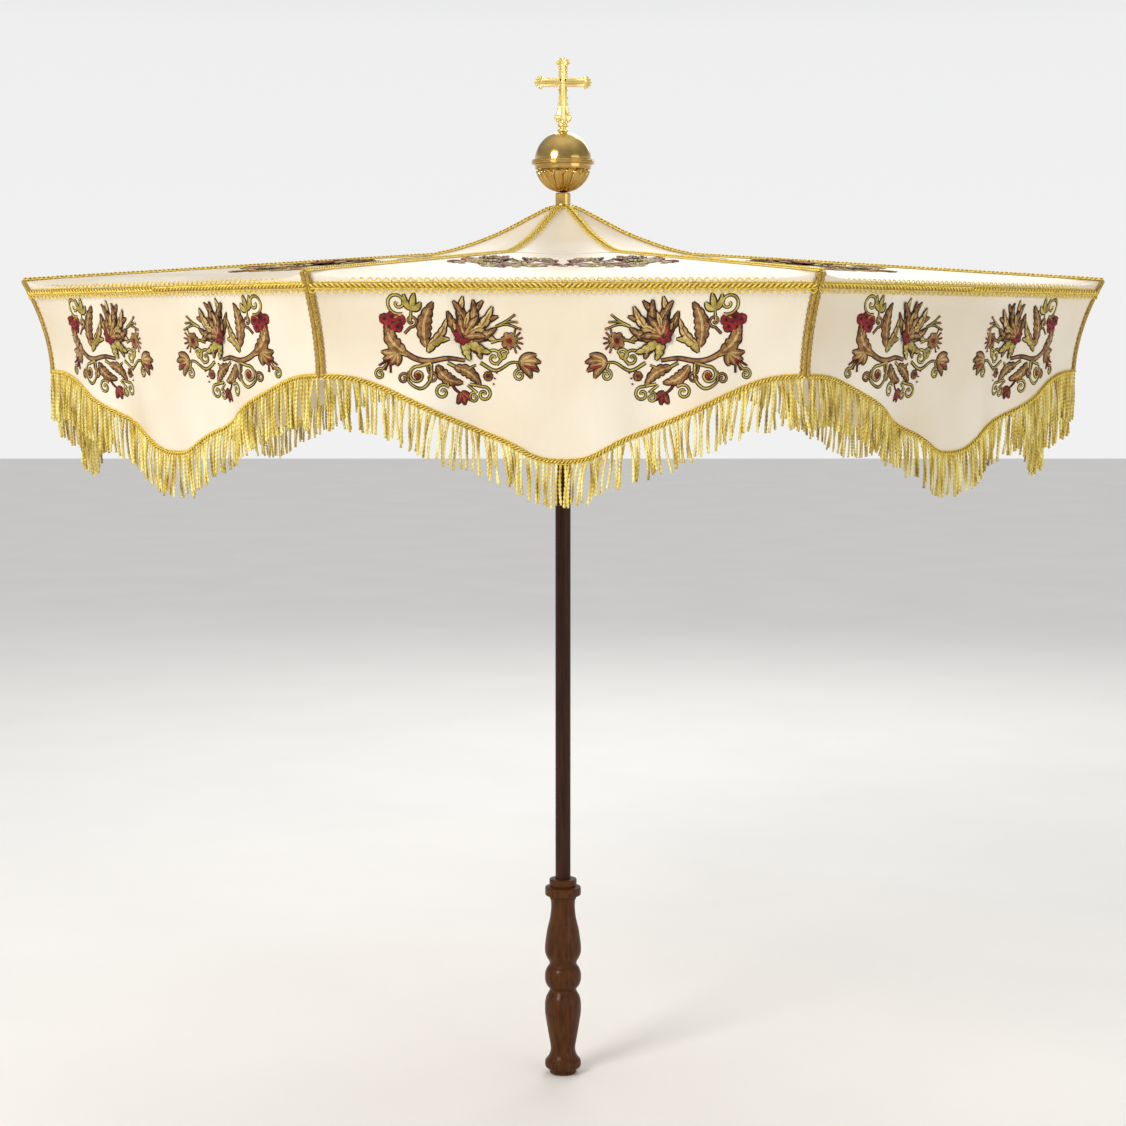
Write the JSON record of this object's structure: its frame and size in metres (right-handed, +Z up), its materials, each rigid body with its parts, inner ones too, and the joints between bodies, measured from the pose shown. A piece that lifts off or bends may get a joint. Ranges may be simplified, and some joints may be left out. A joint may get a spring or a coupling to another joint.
{
  "type": "processional umbrella",
  "caption": "Ceremonial processional umbrella with a ribbed satin canopy, fringed scalloped valances, a gilt ball and cross finial, and a turned wooden handle on a slim pole.",
  "frame": {"origin": "middle of the handle's flat foot, on the pole's axis", "axes": "+Z up along the pole to the cross, -Y towards the middle of one canopy panel, +X along the crossbar"},
  "size_m": [1.1086, 1.1086, 1.1598],
  "materials": {
    "satin": "satin weave with gold-thread embroidery",
    "pole_wood": "dark stained and varnished",
    "handle_wood": "turned and lacquered",
    "brass": "polished",
    "gilt": "bright gilt",
    "steel": "satin"
  },
  "bodies": {
    "pole_assembly": {"pole": "pole_wood", "handle": "handle_wood", "catch_spring": "steel", "crown": "brass", "crown_wire": "steel", "peak_cover": "satin", "finial_tube": "brass", "ball_lower": "brass", "ball_band": "brass", "ball_upper": "brass", "cross": "gilt"},
    "runner": {"runner": "brass"},
    "rib_1": {"rib_1": "steel"},
    "stretcher_1": {"stretcher_1": "steel"},
    "panel_2a": {"panel_2a": "satin"},
    "valance_2a": {"valance_2a": "satin"},
    "panel_1b": {"panel_1b": "satin"},
    "valance_1b": {"valance_1b": "satin"},
    "rib_2": {"rib_2": "steel"},
    "stretcher_2": {"stretcher_2": "steel"},
    "panel_3a": {"panel_3a": "satin"},
    "valance_3a": {"valance_3a": "satin"},
    "panel_2b": {"panel_2b": "satin"},
    "valance_2b": {"valance_2b": "satin"},
    "rib_3": {"rib_3": "steel"},
    "stretcher_3": {"stretcher_3": "steel"},
    "panel_4a": {"panel_4a": "satin"},
    "valance_4a": {"valance_4a": "satin"},
    "panel_3b": {"panel_3b": "satin"},
    "valance_3b": {"valance_3b": "satin"},
    "rib_4": {"rib_4": "steel"},
    "stretcher_4": {"stretcher_4": "steel"},
    "panel_5a": {"panel_5a": "satin"},
    "valance_5a": {"valance_5a": "satin"},
    "panel_4b": {"panel_4b": "satin"},
    "valance_4b": {"valance_4b": "satin"},
    "rib_5": {"rib_5": "steel"},
    "stretcher_5": {"stretcher_5": "steel"},
    "panel_6a": {"panel_6a": "satin"},
    "valance_6a": {"valance_6a": "satin"},
    "panel_5b": {"panel_5b": "satin"},
    "valance_5b": {"valance_5b": "satin"},
    "rib_6": {"rib_6": "steel"},
    "stretcher_6": {"stretcher_6": "steel"},
    "panel_7a": {"panel_7a": "satin"},
    "valance_7a": {"valance_7a": "satin"},
    "panel_6b": {"panel_6b": "satin"},
    "valance_6b": {"valance_6b": "satin"},
    "rib_7": {"rib_7": "steel"},
    "stretcher_7": {"stretcher_7": "steel"},
    "panel_8a": {"panel_8a": "satin"},
    "valance_8a": {"valance_8a": "satin"},
    "panel_7b": {"panel_7b": "satin"},
    "valance_7b": {"valance_7b": "satin"},
    "rib_8": {"rib_8": "steel"},
    "stretcher_8": {"stretcher_8": "steel"},
    "panel_1a": {"panel_1a": "satin"},
    "valance_1a": {"valance_1a": "satin"},
    "panel_8b": {"panel_8b": "satin"},
    "valance_8b": {"valance_8b": "satin"}
  },
  "joints": [
    {"name": "runner_slide", "type": "slide", "parent": "pole_assembly", "child": "runner", "axis": [0, 0, -1], "range_m": [0, 0.3482], "deforming": ["catch_spring", "panel_1a", "valance_1a", "panel_1b", "valance_1b", "panel_2a", "valance_2a", "panel_2b", "valance_2b", "panel_3a", "valance_3a", "panel_3b", "valance_3b", "panel_4a", "valance_4a", "panel_4b", "valance_4b", "panel_5a", "valance_5a", "panel_5b", "valance_5b", "panel_6a", "valance_6a", "panel_6b", "valance_6b", "panel_7a", "valance_7a", "panel_7b", "valance_7b", "panel_8a", "valance_8a", "panel_8b", "valance_8b"]},
    {"name": "rib_1_fold", "type": "hinge", "parent": "pole_assembly", "child": "rib_1", "pos_m": [0.02217, 0.00918, 0.9428], "axis": [-0.3827, 0.9239, 0], "range_deg": [0, 81.95]},
    {"name": "stretcher_1_turn", "type": "hinge", "parent": "rib_1", "child": "stretcher_1", "pos_m": [0.20568, 0.0852, 0.91653], "axis": [-0.3827, 0.9239, 0], "range_deg": [-163.85, 0]},
    {"name": "panel_2a_pleat", "type": "hinge", "parent": "rib_1", "child": "panel_2a", "pos_m": [0.02243, 0.00929, 0.94669], "axis": [0.9215, 0.3817, -0.0715], "range_deg": [0, 62.87]},
    {"name": "valance_2a_swing", "type": "hinge", "parent": "panel_2a", "child": "valance_2a", "pos_m": [0.39197, 0.39197, 0.90542], "axis": [0.7071, -0.7071, 0], "range_deg": [0, 94.61]},
    {"name": "panel_1b_pleat", "type": "hinge", "parent": "rib_1", "child": "panel_1b", "pos_m": [0.02243, 0.00929, 0.94669], "axis": [-0.9215, -0.3817, 0.0715], "range_deg": [0, 62.87]},
    {"name": "valance_1b_swing", "type": "hinge", "parent": "panel_1b", "child": "valance_1b", "pos_m": [0.55433, 0, 0.90542], "axis": [0, -1, 0], "range_deg": [0, 94.61]},
    {"name": "rib_2_fold", "type": "hinge", "parent": "pole_assembly", "child": "rib_2", "pos_m": [0.00918, 0.02217, 0.9428], "axis": [-0.9239, 0.3827, 0], "range_deg": [0, 81.95]},
    {"name": "stretcher_2_turn", "type": "hinge", "parent": "rib_2", "child": "stretcher_2", "pos_m": [0.0852, 0.20568, 0.91653], "axis": [-0.9239, 0.3827, 0], "range_deg": [-163.85, 0]},
    {"name": "panel_3a_pleat", "type": "hinge", "parent": "rib_2", "child": "panel_3a", "pos_m": [0.00929, 0.02243, 0.94669], "axis": [0.3817, 0.9215, -0.0715], "range_deg": [0, 62.87]},
    {"name": "valance_3a_swing", "type": "hinge", "parent": "panel_3a", "child": "valance_3a", "pos_m": [0, 0.55433, 0.90542], "axis": [1, 0, 0], "range_deg": [0, 94.61]},
    {"name": "panel_2b_pleat", "type": "hinge", "parent": "rib_2", "child": "panel_2b", "pos_m": [0.00929, 0.02243, 0.94669], "axis": [-0.3817, -0.9215, 0.0715], "range_deg": [0, 62.87]},
    {"name": "valance_2b_swing", "type": "hinge", "parent": "panel_2b", "child": "valance_2b", "pos_m": [0.39197, 0.39197, 0.90542], "axis": [0.7071, -0.7071, 0], "range_deg": [0, 94.61]},
    {"name": "rib_3_fold", "type": "hinge", "parent": "pole_assembly", "child": "rib_3", "pos_m": [-0.00918, 0.02217, 0.9428], "axis": [-0.9239, -0.3827, 0], "range_deg": [0, 81.95]},
    {"name": "stretcher_3_turn", "type": "hinge", "parent": "rib_3", "child": "stretcher_3", "pos_m": [-0.0852, 0.20568, 0.91653], "axis": [-0.9239, -0.3827, 0], "range_deg": [-163.85, 0]},
    {"name": "panel_4a_pleat", "type": "hinge", "parent": "rib_3", "child": "panel_4a", "pos_m": [-0.00929, 0.02243, 0.94669], "axis": [-0.3817, 0.9215, -0.0715], "range_deg": [0, 62.87]},
    {"name": "valance_4a_swing", "type": "hinge", "parent": "panel_4a", "child": "valance_4a", "pos_m": [-0.39197, 0.39197, 0.90542], "axis": [0.7071, 0.7071, 0], "range_deg": [0, 94.61]},
    {"name": "panel_3b_pleat", "type": "hinge", "parent": "rib_3", "child": "panel_3b", "pos_m": [-0.00929, 0.02243, 0.94669], "axis": [0.3817, -0.9215, 0.0715], "range_deg": [0, 62.87]},
    {"name": "valance_3b_swing", "type": "hinge", "parent": "panel_3b", "child": "valance_3b", "pos_m": [0, 0.55433, 0.90542], "axis": [1, 0, 0], "range_deg": [0, 94.61]},
    {"name": "rib_4_fold", "type": "hinge", "parent": "pole_assembly", "child": "rib_4", "pos_m": [-0.02217, 0.00918, 0.9428], "axis": [-0.3827, -0.9239, 0], "range_deg": [0, 81.95]},
    {"name": "stretcher_4_turn", "type": "hinge", "parent": "rib_4", "child": "stretcher_4", "pos_m": [-0.20568, 0.0852, 0.91653], "axis": [-0.3827, -0.9239, 0], "range_deg": [-163.85, 0]},
    {"name": "panel_5a_pleat", "type": "hinge", "parent": "rib_4", "child": "panel_5a", "pos_m": [-0.02243, 0.00929, 0.94669], "axis": [-0.9215, 0.3817, -0.0715], "range_deg": [0, 62.87]},
    {"name": "valance_5a_swing", "type": "hinge", "parent": "panel_5a", "child": "valance_5a", "pos_m": [-0.55433, 0, 0.90542], "axis": [0, 1, 0], "range_deg": [0, 94.61]},
    {"name": "panel_4b_pleat", "type": "hinge", "parent": "rib_4", "child": "panel_4b", "pos_m": [-0.02243, 0.00929, 0.94669], "axis": [0.9215, -0.3817, 0.0715], "range_deg": [0, 62.87]},
    {"name": "valance_4b_swing", "type": "hinge", "parent": "panel_4b", "child": "valance_4b", "pos_m": [-0.39197, 0.39197, 0.90542], "axis": [0.7071, 0.7071, 0], "range_deg": [0, 94.61]},
    {"name": "rib_5_fold", "type": "hinge", "parent": "pole_assembly", "child": "rib_5", "pos_m": [-0.02217, -0.00918, 0.9428], "axis": [0.3827, -0.9239, 0], "range_deg": [0, 81.95]},
    {"name": "stretcher_5_turn", "type": "hinge", "parent": "rib_5", "child": "stretcher_5", "pos_m": [-0.20568, -0.0852, 0.91653], "axis": [0.3827, -0.9239, 0], "range_deg": [-163.85, 0]},
    {"name": "panel_6a_pleat", "type": "hinge", "parent": "rib_5", "child": "panel_6a", "pos_m": [-0.02243, -0.00929, 0.94669], "axis": [-0.9215, -0.3817, -0.0715], "range_deg": [0, 62.87]},
    {"name": "valance_6a_swing", "type": "hinge", "parent": "panel_6a", "child": "valance_6a", "pos_m": [-0.39197, -0.39197, 0.90542], "axis": [-0.7071, 0.7071, 0], "range_deg": [0, 94.61]},
    {"name": "panel_5b_pleat", "type": "hinge", "parent": "rib_5", "child": "panel_5b", "pos_m": [-0.02243, -0.00929, 0.94669], "axis": [0.9215, 0.3817, 0.0715], "range_deg": [0, 62.87]},
    {"name": "valance_5b_swing", "type": "hinge", "parent": "panel_5b", "child": "valance_5b", "pos_m": [-0.55433, 0, 0.90542], "axis": [0, 1, 0], "range_deg": [0, 94.61]},
    {"name": "rib_6_fold", "type": "hinge", "parent": "pole_assembly", "child": "rib_6", "pos_m": [-0.00918, -0.02217, 0.9428], "axis": [0.9239, -0.3827, 0], "range_deg": [0, 81.95]},
    {"name": "stretcher_6_turn", "type": "hinge", "parent": "rib_6", "child": "stretcher_6", "pos_m": [-0.0852, -0.20568, 0.91653], "axis": [0.9239, -0.3827, 0], "range_deg": [-163.85, 0]},
    {"name": "panel_7a_pleat", "type": "hinge", "parent": "rib_6", "child": "panel_7a", "pos_m": [-0.00929, -0.02243, 0.94669], "axis": [-0.3817, -0.9215, -0.0715], "range_deg": [0, 62.87]},
    {"name": "valance_7a_swing", "type": "hinge", "parent": "panel_7a", "child": "valance_7a", "pos_m": [0, -0.55433, 0.90542], "axis": [-1, 0, 0], "range_deg": [0, 94.61]},
    {"name": "panel_6b_pleat", "type": "hinge", "parent": "rib_6", "child": "panel_6b", "pos_m": [-0.00929, -0.02243, 0.94669], "axis": [0.3817, 0.9215, 0.0715], "range_deg": [0, 62.87]},
    {"name": "valance_6b_swing", "type": "hinge", "parent": "panel_6b", "child": "valance_6b", "pos_m": [-0.39197, -0.39197, 0.90542], "axis": [-0.7071, 0.7071, 0], "range_deg": [0, 94.61]},
    {"name": "rib_7_fold", "type": "hinge", "parent": "pole_assembly", "child": "rib_7", "pos_m": [0.00918, -0.02217, 0.9428], "axis": [0.9239, 0.3827, 0], "range_deg": [0, 81.95]},
    {"name": "stretcher_7_turn", "type": "hinge", "parent": "rib_7", "child": "stretcher_7", "pos_m": [0.0852, -0.20568, 0.91653], "axis": [0.9239, 0.3827, 0], "range_deg": [-163.85, 0]},
    {"name": "panel_8a_pleat", "type": "hinge", "parent": "rib_7", "child": "panel_8a", "pos_m": [0.00929, -0.02243, 0.94669], "axis": [0.3817, -0.9215, -0.0715], "range_deg": [0, 62.87]},
    {"name": "valance_8a_swing", "type": "hinge", "parent": "panel_8a", "child": "valance_8a", "pos_m": [0.39197, -0.39197, 0.90542], "axis": [-0.7071, -0.7071, 0], "range_deg": [0, 94.61]},
    {"name": "panel_7b_pleat", "type": "hinge", "parent": "rib_7", "child": "panel_7b", "pos_m": [0.00929, -0.02243, 0.94669], "axis": [-0.3817, 0.9215, 0.0715], "range_deg": [0, 62.87]},
    {"name": "valance_7b_swing", "type": "hinge", "parent": "panel_7b", "child": "valance_7b", "pos_m": [0, -0.55433, 0.90542], "axis": [-1, 0, 0], "range_deg": [0, 94.61]},
    {"name": "rib_8_fold", "type": "hinge", "parent": "pole_assembly", "child": "rib_8", "pos_m": [0.02217, -0.00918, 0.9428], "axis": [0.3827, 0.9239, 0], "range_deg": [0, 81.95]},
    {"name": "stretcher_8_turn", "type": "hinge", "parent": "rib_8", "child": "stretcher_8", "pos_m": [0.20568, -0.0852, 0.91653], "axis": [0.3827, 0.9239, 0], "range_deg": [-163.85, 0]},
    {"name": "panel_1a_pleat", "type": "hinge", "parent": "rib_8", "child": "panel_1a", "pos_m": [0.02243, -0.00929, 0.94669], "axis": [0.9215, -0.3817, -0.0715], "range_deg": [0, 62.87]},
    {"name": "valance_1a_swing", "type": "hinge", "parent": "panel_1a", "child": "valance_1a", "pos_m": [0.55433, 0, 0.90542], "axis": [0, -1, 0], "range_deg": [0, 94.61]},
    {"name": "panel_8b_pleat", "type": "hinge", "parent": "rib_8", "child": "panel_8b", "pos_m": [0.02243, -0.00929, 0.94669], "axis": [-0.9215, 0.3817, 0.0715], "range_deg": [0, 62.87]},
    {"name": "valance_8b_swing", "type": "hinge", "parent": "panel_8b", "child": "valance_8b", "pos_m": [0.39197, -0.39197, 0.90542], "axis": [-0.7071, -0.7071, 0], "range_deg": [0, 94.61]}
  ],
  "couplings": [
    {"joint": "rib_1_fold", "follows": "runner_slide", "rad_per_m": 4.1052},
    {"joint": "stretcher_1_turn", "follows": "runner_slide", "rad_per_m": -8.2104},
    {"joint": "panel_2a_pleat", "follows": "runner_slide", "rad_per_m": 3.1488},
    {"joint": "valance_2a_swing", "follows": "runner_slide", "rad_per_m": 4.7399},
    {"joint": "panel_1b_pleat", "follows": "runner_slide", "rad_per_m": 3.1488},
    {"joint": "valance_1b_swing", "follows": "runner_slide", "rad_per_m": 4.7399},
    {"joint": "rib_2_fold", "follows": "runner_slide", "rad_per_m": 4.1052},
    {"joint": "stretcher_2_turn", "follows": "runner_slide", "rad_per_m": -8.2104},
    {"joint": "panel_3a_pleat", "follows": "runner_slide", "rad_per_m": 3.1488},
    {"joint": "valance_3a_swing", "follows": "runner_slide", "rad_per_m": 4.7399},
    {"joint": "panel_2b_pleat", "follows": "runner_slide", "rad_per_m": 3.1488},
    {"joint": "valance_2b_swing", "follows": "runner_slide", "rad_per_m": 4.7399},
    {"joint": "rib_3_fold", "follows": "runner_slide", "rad_per_m": 4.1052},
    {"joint": "stretcher_3_turn", "follows": "runner_slide", "rad_per_m": -8.2104},
    {"joint": "panel_4a_pleat", "follows": "runner_slide", "rad_per_m": 3.1488},
    {"joint": "valance_4a_swing", "follows": "runner_slide", "rad_per_m": 4.7399},
    {"joint": "panel_3b_pleat", "follows": "runner_slide", "rad_per_m": 3.1488},
    {"joint": "valance_3b_swing", "follows": "runner_slide", "rad_per_m": 4.7399},
    {"joint": "rib_4_fold", "follows": "runner_slide", "rad_per_m": 4.1052},
    {"joint": "stretcher_4_turn", "follows": "runner_slide", "rad_per_m": -8.2104},
    {"joint": "panel_5a_pleat", "follows": "runner_slide", "rad_per_m": 3.1488},
    {"joint": "valance_5a_swing", "follows": "runner_slide", "rad_per_m": 4.7399},
    {"joint": "panel_4b_pleat", "follows": "runner_slide", "rad_per_m": 3.1488},
    {"joint": "valance_4b_swing", "follows": "runner_slide", "rad_per_m": 4.7399},
    {"joint": "rib_5_fold", "follows": "runner_slide", "rad_per_m": 4.1052},
    {"joint": "stretcher_5_turn", "follows": "runner_slide", "rad_per_m": -8.2104},
    {"joint": "panel_6a_pleat", "follows": "runner_slide", "rad_per_m": 3.1488},
    {"joint": "valance_6a_swing", "follows": "runner_slide", "rad_per_m": 4.7399},
    {"joint": "panel_5b_pleat", "follows": "runner_slide", "rad_per_m": 3.1488},
    {"joint": "valance_5b_swing", "follows": "runner_slide", "rad_per_m": 4.7399},
    {"joint": "rib_6_fold", "follows": "runner_slide", "rad_per_m": 4.1052},
    {"joint": "stretcher_6_turn", "follows": "runner_slide", "rad_per_m": -8.2104},
    {"joint": "panel_7a_pleat", "follows": "runner_slide", "rad_per_m": 3.1488},
    {"joint": "valance_7a_swing", "follows": "runner_slide", "rad_per_m": 4.7399},
    {"joint": "panel_6b_pleat", "follows": "runner_slide", "rad_per_m": 3.1488},
    {"joint": "valance_6b_swing", "follows": "runner_slide", "rad_per_m": 4.7399},
    {"joint": "rib_7_fold", "follows": "runner_slide", "rad_per_m": 4.1052},
    {"joint": "stretcher_7_turn", "follows": "runner_slide", "rad_per_m": -8.2104},
    {"joint": "panel_8a_pleat", "follows": "runner_slide", "rad_per_m": 3.1488},
    {"joint": "valance_8a_swing", "follows": "runner_slide", "rad_per_m": 4.7399},
    {"joint": "panel_7b_pleat", "follows": "runner_slide", "rad_per_m": 3.1488},
    {"joint": "valance_7b_swing", "follows": "runner_slide", "rad_per_m": 4.7399},
    {"joint": "rib_8_fold", "follows": "runner_slide", "rad_per_m": 4.1052},
    {"joint": "stretcher_8_turn", "follows": "runner_slide", "rad_per_m": -8.2104},
    {"joint": "panel_1a_pleat", "follows": "runner_slide", "rad_per_m": 3.1488},
    {"joint": "valance_1a_swing", "follows": "runner_slide", "rad_per_m": 4.7399},
    {"joint": "panel_8b_pleat", "follows": "runner_slide", "rad_per_m": 3.1488},
    {"joint": "valance_8b_swing", "follows": "runner_slide", "rad_per_m": 4.7399}
  ]
}
